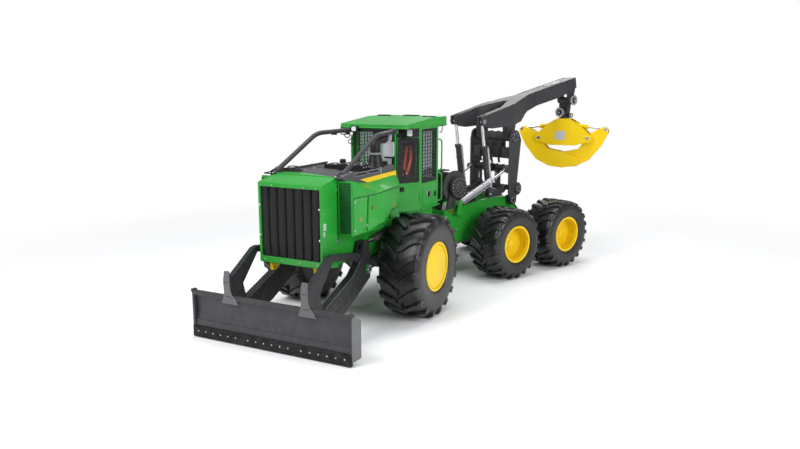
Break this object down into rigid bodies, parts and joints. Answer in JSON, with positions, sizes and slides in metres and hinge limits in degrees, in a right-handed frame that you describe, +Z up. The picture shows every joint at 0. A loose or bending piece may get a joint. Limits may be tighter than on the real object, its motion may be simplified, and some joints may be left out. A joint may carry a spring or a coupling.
{
  "type": "articulated six-wheel grapple skidder",
  "caption": "Articulated forestry skidder with front blade, cab, winch, swinging arch and boom, and a log grapple hung on a powered rotator.",
  "frame": {"origin": "on the floor, under the middle of the whole machine as it stands with its rear frame turned", "axes": "+Z up; +Y to the rear along the front frame, whose blade faces -Y; +X to the machine's left"},
  "size_m": [4.4316, 9.93, 4.16],
  "materials": {
    "green_paint": "gloss",
    "yellow_paint": "gloss",
    "dark_paint": "satin",
    "grey_paint": "satin",
    "tyre_rubber": "matt",
    "bright_steel": "polished",
    "bare_steel": "brushed",
    "casting": "rough",
    "black_plastic": "matt",
    "clear_glass": "clear",
    "seat_cloth": "woven"
  },
  "bodies": {
    "front_frame": {"air_intake": "black_plastic", "cab_glass": "clear_glass", "cab_roof": "green_paint", "cab_shell": "green_paint", "console": "black_plastic", "engine_block": "casting", "engine_enclosure": "green_paint", "front_axle": "casting", "front_chassis": "green_paint", "front_crossplates": "green_paint", "grille": "dark_paint", "handrails": "green_paint", "hood_deck": "grey_paint", "nose_box": "green_paint", "risers": "dark_paint", "seat": "seat_cloth", "tow_eyes": "yellow_paint", "window_guards": "dark_paint"},
    "rear_frame": {"rear_chassis": "green_paint", "rear_crossplates": "green_paint", "bogie": "casting", "winch_frame": "dark_paint"},
    "wheel_front_left": {"tyre_front_left": "tyre_rubber", "rim_front_left": "yellow_paint"},
    "wheel_front_right": {"tyre_front_right": "tyre_rubber", "rim_front_right": "yellow_paint"},
    "wheel_middle_left": {"tyre_middle_left": "tyre_rubber", "rim_middle_left": "yellow_paint"},
    "wheel_middle_right": {"tyre_middle_right": "tyre_rubber", "rim_middle_right": "yellow_paint"},
    "wheel_rear_left": {"tyre_rear_left": "tyre_rubber", "rim_rear_left": "yellow_paint"},
    "wheel_rear_right": {"tyre_rear_right": "tyre_rubber", "rim_rear_right": "yellow_paint"},
    "blade_assembly": {"blade": "dark_paint", "cutting_edge": "dark_paint", "blade_arms": "dark_paint"},
    "blade_barrels": {"blade_barrels": "dark_paint"},
    "blade_rods": {"blade_rods": "bright_steel"},
    "arch_barrels": {"arch_barrels": "dark_paint"},
    "arch_rods": {"arch_rods": "bright_steel"},
    "boom_barrels": {"boom_barrels": "dark_paint"},
    "boom_rods": {"boom_rods": "bright_steel"},
    "winch_drum": {"winch_drum": "casting"},
    "arch": {"arch": "dark_paint", "fairlead": "bare_steel"},
    "boom": {"boom": "dark_paint"},
    "crosshead": {"crosshead": "dark_paint"},
    "swing_link": {"swing_link": "dark_paint"},
    "grapple_head": {"grapple_head": "yellow_paint"},
    "tong_left": {"tong_left": "yellow_paint"},
    "grapple_barrel_left": {"grapple_barrel_left": "yellow_paint"},
    "grapple_rod_left": {"grapple_rod_left": "bright_steel"},
    "door_left": {"door_left": "green_paint", "door_glass_left": "clear_glass"},
    "tong_right": {"tong_right": "yellow_paint"},
    "grapple_barrel_right": {"grapple_barrel_right": "yellow_paint"},
    "grapple_rod_right": {"grapple_rod_right": "bright_steel"},
    "door_right": {"door_right": "green_paint", "door_glass_right": "clear_glass"}
  },
  "joints": [
    {"name": "articulation", "type": "hinge", "parent": "front_frame", "child": "rear_frame", "pos_m": [-0.645, 0.119, 1], "axis": [0, 0, 1], "range_deg": [-20.3, 63.7]},
    {"name": "wheel_front_left_spin", "type": "hinge", "parent": "front_frame", "child": "wheel_front_left", "pos_m": [0.54, -2.135, 0.9], "axis": [1, 0, 0], "continuous": true},
    {"name": "wheel_front_right_spin", "type": "hinge", "parent": "front_frame", "child": "wheel_front_right", "pos_m": [-1.83, -2.135, 0.9], "axis": [1, 0, 0], "continuous": true},
    {"name": "wheel_middle_left_spin", "type": "hinge", "parent": "rear_frame", "child": "wheel_middle_left", "pos_m": [0.95715, 1.08346, 0.74], "axis": [0.9291, -0.3697, 0], "continuous": true},
    {"name": "wheel_middle_right_spin", "type": "hinge", "parent": "rear_frame", "child": "wheel_middle_right", "pos_m": [-1.14641, 1.92057, 0.74], "axis": [0.9291, -0.3697, 0], "continuous": true},
    {"name": "wheel_rear_left_spin", "type": "hinge", "parent": "rear_frame", "child": "wheel_rear_left", "pos_m": [1.57203, 2.62861, 0.74], "axis": [0.9291, -0.3697, 0], "continuous": true},
    {"name": "wheel_rear_right_spin", "type": "hinge", "parent": "rear_frame", "child": "wheel_rear_right", "pos_m": [-0.53152, 3.46571, 0.74], "axis": [0.9291, -0.3697, 0], "continuous": true},
    {"name": "blade_lift", "type": "hinge", "parent": "front_frame", "child": "blade_assembly", "pos_m": [-0.645, -3.235, 1.02], "axis": [-1, 0, 0], "range_deg": [-8, 20]},
    {"name": "blade_barrels_swing", "type": "hinge", "parent": "front_frame", "child": "blade_barrels", "pos_m": [-0.645, -2.285, 1.5], "axis": [1, 0, 0], "range_deg": [-0.42, 1.05]},
    {"name": "blade_rods_slide", "type": "slide", "parent": "blade_barrels", "child": "blade_rods", "axis": [0, -0.9975, -0.0712], "range_m": [-0.14389, 0.05756]},
    {"name": "arch_tilt", "type": "hinge", "parent": "rear_frame", "child": "arch", "pos_m": [0.22243, 2.29875, 1.48], "axis": [-0.9291, 0.3697, 0], "range_deg": [0, 40]},
    {"name": "arch_barrels_swing", "type": "hinge", "parent": "rear_frame", "child": "arch_barrels", "pos_m": [-0.38396, 0.77497, 1.56], "axis": [0.9291, -0.3697, 0], "range_deg": [-6.35, 0]},
    {"name": "arch_rods_slide", "type": "slide", "parent": "arch_barrels", "child": "arch_rods", "axis": [0.3417, 0.8585, 0.3824], "range_m": [0, 0.45155]},
    {"name": "boom_lift", "type": "hinge", "parent": "arch", "child": "boom", "pos_m": [0.22612, 2.30804, 2.87], "axis": [0.9291, -0.3697, 0], "range_deg": [-46, 15]},
    {"name": "boom_barrels_swing", "type": "hinge", "parent": "arch", "child": "boom_barrels", "pos_m": [0.00058, 1.74127, 1.65], "axis": [0.9291, -0.3697, 0], "range_deg": [-15.5, 5.05]},
    {"name": "boom_rods_slide", "type": "slide", "parent": "boom_barrels", "child": "boom_rods", "axis": [-0.0559, -0.1404, 0.9885], "range_m": [-0.18074, 0.55426]},
    {"name": "grapple_hang", "type": "hinge", "parent": "boom", "child": "crosshead", "pos_m": [1.14679, 4.62158, 3.62], "axis": [-0.9291, 0.3697, 0], "range_deg": [-46, 15]},
    {"name": "grapple_side_swing", "type": "hinge", "parent": "crosshead", "child": "swing_link", "pos_m": [1.14679, 4.62158, 3.33], "axis": [-0.3697, -0.9291, 0], "range_deg": [-25, 25]},
    {"name": "grapple_rotate", "type": "hinge", "parent": "swing_link", "child": "grapple_head", "pos_m": [1.14679, 4.62158, 3.18], "axis": [0, 0, 1], "continuous": true},
    {"name": "tong_left_open", "type": "hinge", "parent": "grapple_head", "child": "tong_left", "pos_m": [1.7241, 4.71611, 2.72], "axis": [0.1616, -0.9869, 0], "range_deg": [0, 55]},
    {"name": "grapple_barrel_left_swing", "type": "hinge", "parent": "grapple_head", "child": "grapple_barrel_left", "pos_m": [1.26522, 4.64097, 3.04], "axis": [0.1616, -0.9869, 0], "range_deg": [0, 22.37]},
    {"name": "grapple_rod_left_slide", "type": "slide", "parent": "grapple_barrel_left", "child": "grapple_rod_left", "axis": [0.9792, 0.1604, -0.124], "range_m": [-0.34434, 0]},
    {"name": "tong_right_open", "type": "hinge", "parent": "grapple_head", "child": "tong_right", "pos_m": [0.56948, 4.52704, 2.72], "axis": [-0.1616, 0.9869, 0], "range_deg": [0, 55]},
    {"name": "grapple_barrel_right_swing", "type": "hinge", "parent": "grapple_head", "child": "grapple_barrel_right", "pos_m": [1.02837, 4.60218, 3.04], "axis": [-0.1616, 0.9869, 0], "range_deg": [0, 22.37]},
    {"name": "grapple_rod_right_slide", "type": "slide", "parent": "grapple_barrel_right", "child": "grapple_rod_right", "axis": [-0.9792, -0.1604, -0.124], "range_m": [-0.34434, 0]},
    {"name": "winch_turn", "type": "hinge", "parent": "rear_frame", "child": "winch_drum", "pos_m": [-0.37656, 0.79355, 1.9], "axis": [0.9291, -0.3697, 0], "continuous": true},
    {"name": "door_left_open", "type": "hinge", "parent": "front_frame", "child": "door_left", "pos_m": [0.06157, -1.15692, 2.3], "axis": [0, 0, 1], "range_deg": [0, 80]},
    {"name": "door_right_open", "type": "hinge", "parent": "front_frame", "child": "door_right", "pos_m": [-1.35157, -1.15692, 2.3], "axis": [0, 0, -1], "range_deg": [0, 80]}
  ],
  "couplings": [
    {"joint": "blade_barrels_swing", "follows": "blade_lift", "ratio": 0.051584},
    {"joint": "blade_rods_slide", "follows": "blade_lift", "m_per_rad": -0.40414},
    {"joint": "arch_barrels_swing", "follows": "arch_tilt", "ratio": -0.15571},
    {"joint": "arch_rods_slide", "follows": "arch_tilt", "m_per_rad": 0.63412},
    {"joint": "boom_barrels_swing", "follows": "boom_lift", "ratio": 0.33039},
    {"joint": "boom_rods_slide", "follows": "boom_lift", "m_per_rad": -0.67683},
    {"joint": "grapple_hang", "follows": "boom_lift", "ratio": 1},
    {"joint": "grapple_barrel_left_swing", "follows": "tong_left_open", "ratio": 0.39882},
    {"joint": "grapple_rod_left_slide", "follows": "tong_left_open", "m_per_rad": -0.35168},
    {"joint": "tong_right_open", "follows": "tong_left_open", "ratio": 1},
    {"joint": "grapple_barrel_right_swing", "follows": "tong_left_open", "ratio": 0.39882},
    {"joint": "grapple_rod_right_slide", "follows": "tong_left_open", "m_per_rad": -0.35168}
  ]
}
